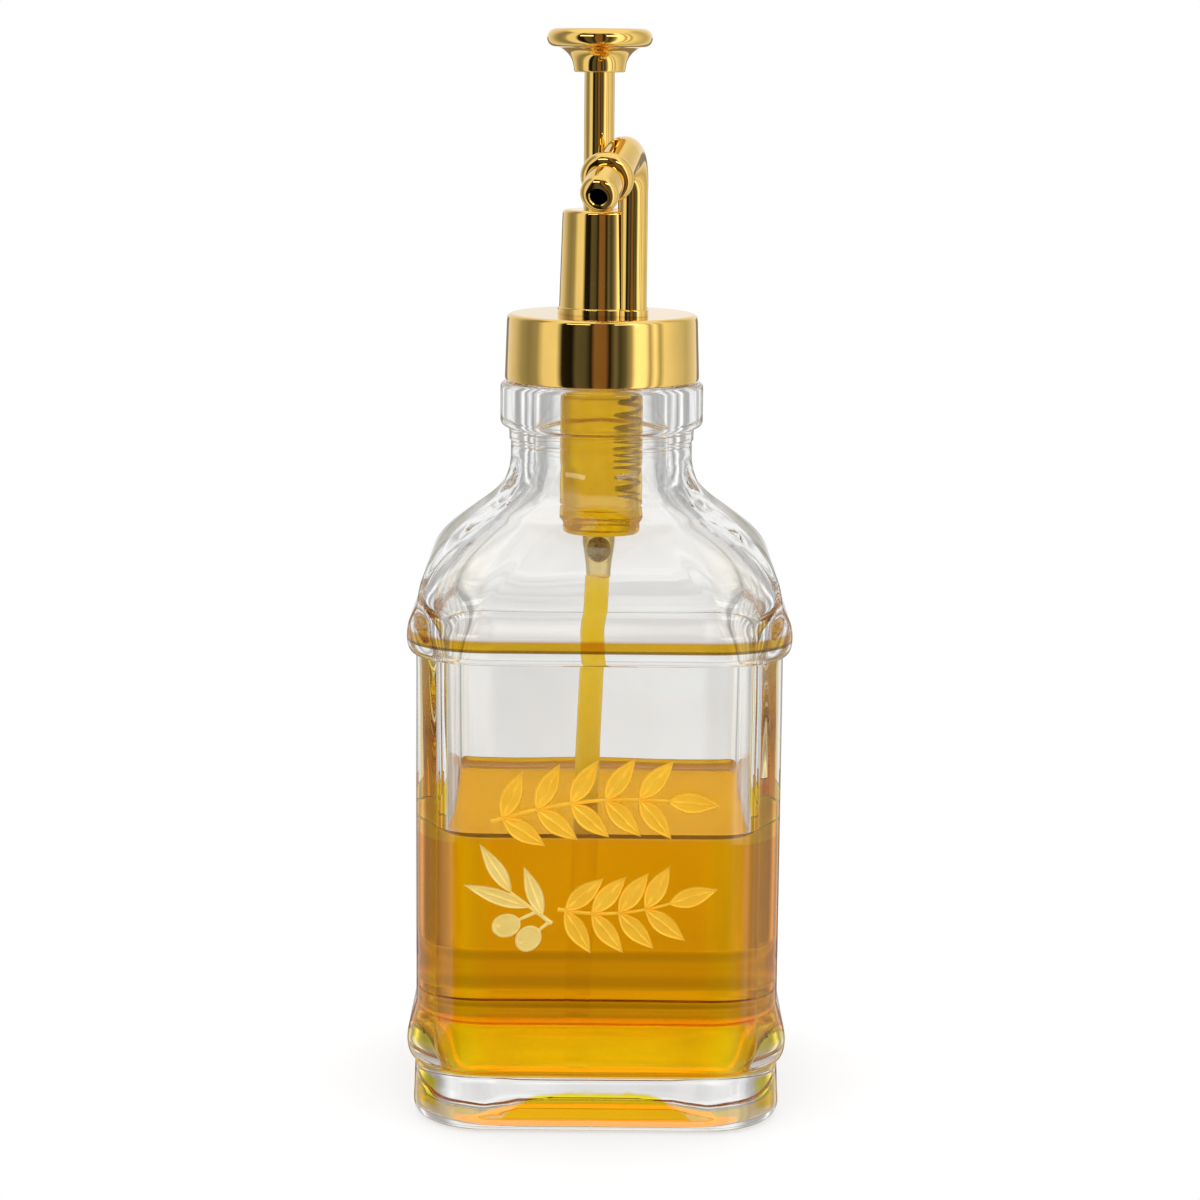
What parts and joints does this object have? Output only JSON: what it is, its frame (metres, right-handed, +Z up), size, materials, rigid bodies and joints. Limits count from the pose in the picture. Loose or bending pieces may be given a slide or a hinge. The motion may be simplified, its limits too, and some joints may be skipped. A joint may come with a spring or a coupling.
{
  "type": "olive oil bottle",
  "caption": "Square clear glass oil bottle, part filled with olive oil, with a screw cap and a gold press-down pump and pouring spout.",
  "frame": {"origin": "middle of the bottle's foot, on the surface it stands on", "axes": "+Z up along the bottle, -Y the front that the spout pours to, +X to the right seen from the front"},
  "size_m": [0.0788, 0.0788, 0.2226],
  "materials": {
    "clear_glass": "clear, polished",
    "olive_oil": "clear golden liquid",
    "polished_gold": "mirror-polished gold plating",
    "pump_plastic": "translucent yellow, oil behind it",
    "tube_plastic": "translucent, oil inside",
    "spring_steel": "bright wire",
    "raised_gold": "satin gold foil"
  },
  "bodies": {
    "bottle": {"glass_bottle": "clear_glass", "oil": "olive_oil", "oil_column": "olive_oil", "dip_tube": "tube_plastic", "inlet_tail": "tube_plastic", "check_ball": "spring_steel", "valve_spring": "spring_steel", "pump_housing": "pump_plastic", "cap": "polished_gold", "pump_tower": "polished_gold", "spout_collar": "polished_gold", "spout_nozzle": "polished_gold", "branch_upper": "raised_gold", "branch_lower": "raised_gold", "olive_sprig": "raised_gold"},
    "plunger": {"plunger_knob": "polished_gold", "plunger_rod": "polished_gold"}
  },
  "joints": [
    {"name": "plunger_press", "type": "slide", "parent": "bottle", "child": "plunger", "axis": [0, 0, -1], "range_m": [0, 0.015], "stiffness_N_per_m": 300, "springref_m": -0.008}
  ]
}
